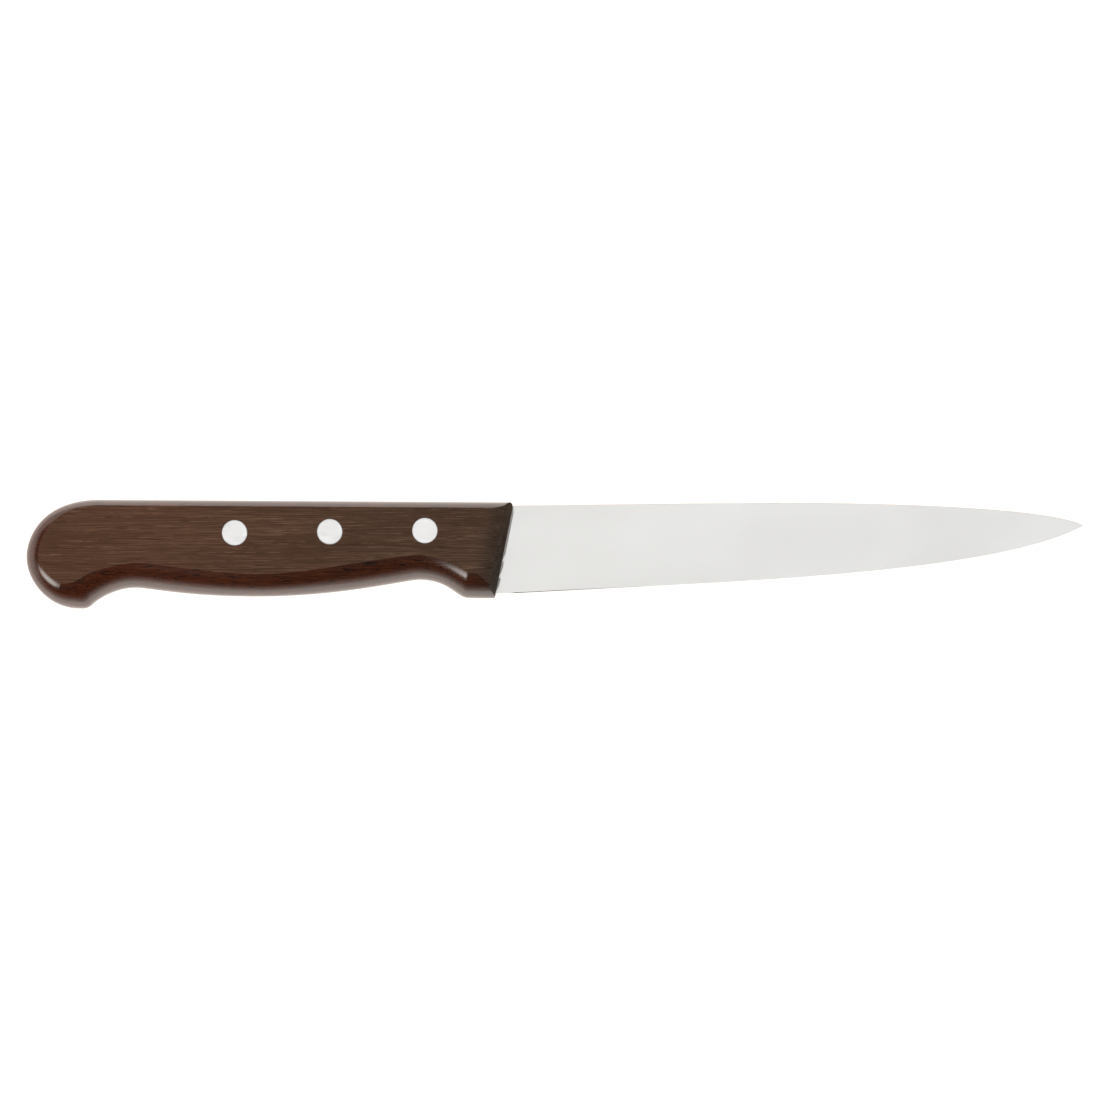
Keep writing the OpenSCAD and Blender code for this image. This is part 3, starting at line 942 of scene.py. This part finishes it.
def painted_front_shade(s, base, outline):
    """The wood's colour, a little darker towards the front, with painted shade where the wood falls
    towards the front edge and more painted shade on the bevel, most of all towards the belly."""
    x, y, _ = s.position()
    base = s.mix(s.between(x, -0.14, -0.02), base, (0.8, 0.92, 0.98), blend="MULTIPLY")
    zero = frame_shift(outline) - (0, MID_DEPTH, 0)
    leaning = s.maths("SUBTRACT", x, s.maths("MULTIPLY", y, outline.tilt))
    front = zero[0] - zero[1] * outline.tilt
    # painted shade over the easing, darker towards the front edge where the wood falls away
    begins, darkest = FRONT_EASING_SHADE
    easing_shade = s.between(leaning, front - begins, front - darkest)
    base = s.mix(easing_shade, base, (0.66, 0.79, 0.9), blend="MULTIPLY")
    # painted shade on the bevel, strongest towards the belly
    bevel = front - outline.handle.bevel_length
    lower = s.between(y, zero[1] - BEVEL_SHADE, zero[1] + BEVEL_SHADE, 1.0, 0.3)
    on_bevel = s.between(leaning, bevel - SHADE_EDGE, bevel + SHADE_EDGE)
    bevel = s.maths("MULTIPLY", lower, on_bevel)
    return s.mix(bevel, base, (0.62, 0.68, 0.74), blend="MULTIPLY")


def wood(name, finish, outline, lacquered):
    """Dark tropical wood with its grain along the handle. The flats are sanded, and the roundings
    have a lacquer that deepens the colour."""
    s = Shader.of_material(name)
    base, streaks, pores = grain(s, finish, lacquered)
    base = painted_front_shade(s, base, outline)
    height = s.maths("SUBTRACT", streaks, s.between(pores, 0.56, 0.66))
    if lacquered:
        base = s.mix(1.0, base, finish.deepening, blend="MULTIPLY")
        s.join(s.surface, {"Roughness": 0.4, "Specular IOR Level": 0.1, "Coat Weight": 1.0,
                           "Coat IOR": 2.0, "Coat Roughness": finish.gloss,
                           "Normal": s.bump(height, 0.012 * MM)})
    else:
        rough = s.between(streaks, 0.3, 0.7, finish.satin - 0.07, finish.satin + 0.07)
        s.join(s.surface, {"Roughness": rough, "Specular IOR Level": 0.1,
                           "Normal": s.bump(height, 0.01 * MM)})
    s.join(s.surface, {"Base Color": base})
    return s.material


def ground_steel(name, finish):
    """Satin steel with very fine grinding lines across the blade and a faint cloudiness, and
    painted shade that makes it slightly darker towards the tip."""
    s = Shader.of_material(name)
    lines = s.noise(s.stretched((5200, 40, 40), turn=(0, 0, 0.02)), detail=3)
    cloud = s.noise(s.stretched((30, 60, 60)), detail=2)
    rough = s.maths("ADD", s.between(lines, 0.3, 0.7, -0.005, 0.005),
                    s.between(cloud, 0.3, 0.7, finish.steel_roughness - 0.01,
                              finish.steel_roughness + 0.01))
    x = s.position()[0]
    # painted shade: the steel's colour darkens towards the tip, in place of a fainter reflection
    # there
    base = s.mix(s.between(x, 0.0, 0.15), finish.steel, (0.92, 0.92, 0.93), blend="MULTIPLY")
    s.join(s.surface, {"Base Color": base, "Metallic": 1.0, "Roughness": rough,
                       "Normal": s.bump(lines, 0.0002 * MM)})
    return s.material


def ground_metal(name, finish):
    """Bright rivet metal ground flush, with fine lines along the handle."""
    s = Shader.of_material(name)
    lines = s.noise(s.stretched((260, 7000, 300)), detail=3)
    rough = s.between(lines, 0.3, 0.7, finish.rivet_roughness - 0.06, finish.rivet_roughness + 0.06)
    s.join(s.surface, {"Base Color": (*finish.rivet, 1), "Metallic": 1.0, "Roughness": rough,
                       "Normal": s.bump(lines, 0.003 * MM)})
    return s.material


# ---------------------------------------------------------------------------------------------
# Stage
# ---------------------------------------------------------------------------------------------

WARM_WHITE = (1.0, 0.94, 0.88)

# Soft edges of the lights, each from where it begins to change to where it is done. They are parts
# of a direction of length 1: along the knife, across it towards the spine, and upwards.
LOW_GLOW = (-0.25, 0.55)  # upwards, fading
BOX_REAR, BOX_FRONT = (-0.34, -0.12), (0.35, 0.6)  # along
BOX_BELLY, BOX_SPINE = (-0.22, -0.06), (0.15, 0.35)  # across
FAR_WALL, FAR_WALL_END = (0.32, 0.5), (0.1, 0.45)  # across, and along where it fades
REAR_WALL = (-0.95, -0.5)  # along, fading
WINDOW = (-0.39, -0.41, 0.82)  # direction of the window at the heel
WINDOW_EDGE = (0.974, 0.992)  # cosine of the angle to that direction


def room_light(world, stage):
    """A plain room: a white soft box hangs overhead, walls glow beyond the spine and behind the
    butt, a low glow runs all round at the height of the floor, a small soft window shines past the
    heel, and the rest is dark. All but the box are warm."""
    s = Shader(world, "Background")
    direction = s.add("ShaderNodeTexCoord").outputs["Generated"]
    x, y, z = s.add("ShaderNodeSeparateXYZ", {0: direction}).outputs
    low = s.between(z, *LOW_GLOW, stage.low_light, 0.0)
    box = s.maths("MULTIPLY", s.between(x, *BOX_REAR), s.between(x, *BOX_FRONT, 1.0, 0.0))
    box = s.maths("MULTIPLY", box, s.between(y, *BOX_BELLY, 0.0, stage.top_light))
    box = s.maths("MULTIPLY", box, s.between(y, *BOX_SPINE, 1.0, 0.0))
    far = s.maths("MULTIPLY", s.between(y, *FAR_WALL, 0.0, stage.far_light),
                  s.between(x, *FAR_WALL_END, 1.0, 0.0))
    behind = s.between(x, *REAR_WALL, stage.behind_light, 0.0)
    beside = s.add("ShaderNodeVectorMath", {0: direction, 1: WINDOW}, operation="DOT_PRODUCT")
    window = s.between(beside.outputs["Value"], *WINDOW_EDGE, 0.0, stage.window_light)
    glow = stage.dark_ceiling
    for light in (low, box, far, behind, window):
        glow = s.maths("MAXIMUM", light, glow)
    s.join(s.surface, {"Strength": glow, "Color": s.mix(box, WARM_WHITE, (1, 1, 1))})


FLOOR_HALF, FLOOR_DROP = 3.0, 0.1 * MM  # half its width, and its depth below the knife


def floor(stage):
    """A wide pale floor that glows evenly, with a little warmth."""
    s = Shader.of_material("pale_floor")
    s.join(s.surface, {"Base Color": (0.1, 0.1, 0.1, 1), "Roughness": 0.9,
                       "Emission Color": (*WARM_WHITE, 1), "Emission Strength": stage.floor_glow})
    mesh = bpy.data.meshes.new("floor")
    corners = [(FLOOR_HALF * i, FLOOR_HALF * j, -FLOOR_DROP)
               for i, j in ((-1, -1), (1, -1), (1, 1), (-1, 1))]
    mesh.from_pydata(corners, [], [(0, 1, 2, 3)])
    mesh.materials.append(s.material)
    made = bpy.data.objects.new("floor", mesh)
    bpy.context.scene.collection.objects.link(made)


def camera(stage, height):
    """A long lens straight above the knife, with the spine towards the top of the picture."""
    data = bpy.data.cameras.new("camera")
    data.lens = data.sensor_width * stage.distance / stage.view_width
    data.clip_start, data.clip_end = 0.05, 20
    data.dof.use_dof = False
    made = bpy.data.objects.new("camera", data)
    made.location = (stage.view_x, stage.view_y, height + stage.distance)
    bpy.context.scene.collection.objects.link(made)
    bpy.context.scene.camera = made


class KNIFE_OT_stage(bpy.types.Operator):
    """Sets up the camera, the floor and the lights"""

    bl_idname = "knife.stage"
    bl_label = "Stage"

    def execute(self, context):
        scene = context.scene
        stage = scene.knife_stage
        scene.view_settings.view_transform = "Standard"
        camera(stage, scene.knife_handle.thickness / 2)
        floor(stage)
        scene.world = scene.world or bpy.data.worlds.new("room")
        room_light(scene.world, stage)
        return {"FINISHED"}


# ---------------------------------------------------------------------------------------------
# Panel, registration and run
# ---------------------------------------------------------------------------------------------

OPERATORS = (KNIFE_OT_stage, KNIFE_OT_scales, KNIFE_OT_blade, KNIFE_OT_rivets)


class KNIFE_PT_panel(bpy.types.Panel):
    """Lists the knife's settings and the steps that build it"""

    bl_idname = "KNIFE_PT_panel"
    bl_label = "Boning knife"
    bl_space_type = "VIEW_3D"
    bl_region_type = "UI"
    bl_category = "Knife"

    def draw(self, context):
        for attribute, group in SETTINGS.items():
            box = self.layout.box()
            box.label(text=group.__doc__)
            for name in group.__annotations__:
                box.prop(getattr(context.scene, attribute), name)
        for operator in OPERATORS:
            self.layout.operator(operator.bl_idname)


def register():
    """Registers the settings, the operators and the panel."""
    for kind in (*SETTINGS.values(), *OPERATORS, KNIFE_PT_panel):
        bpy.utils.register_class(kind)
    for attribute, group in SETTINGS.items():
        setattr(bpy.types.Scene, attribute, PointerProperty(type=group))


def unregister():
    """Takes everything back out."""
    for attribute in SETTINGS:
        delattr(bpy.types.Scene, attribute)
    for kind in (KNIFE_PT_panel, *OPERATORS, *SETTINGS.values()):
        bpy.utils.unregister_class(kind)


def main():
    register()
    bpy.ops.knife.stage()
    bpy.ops.knife.scales()
    bpy.ops.knife.blade()
    bpy.ops.knife.rivets()


if __name__ == "__main__":
    main()
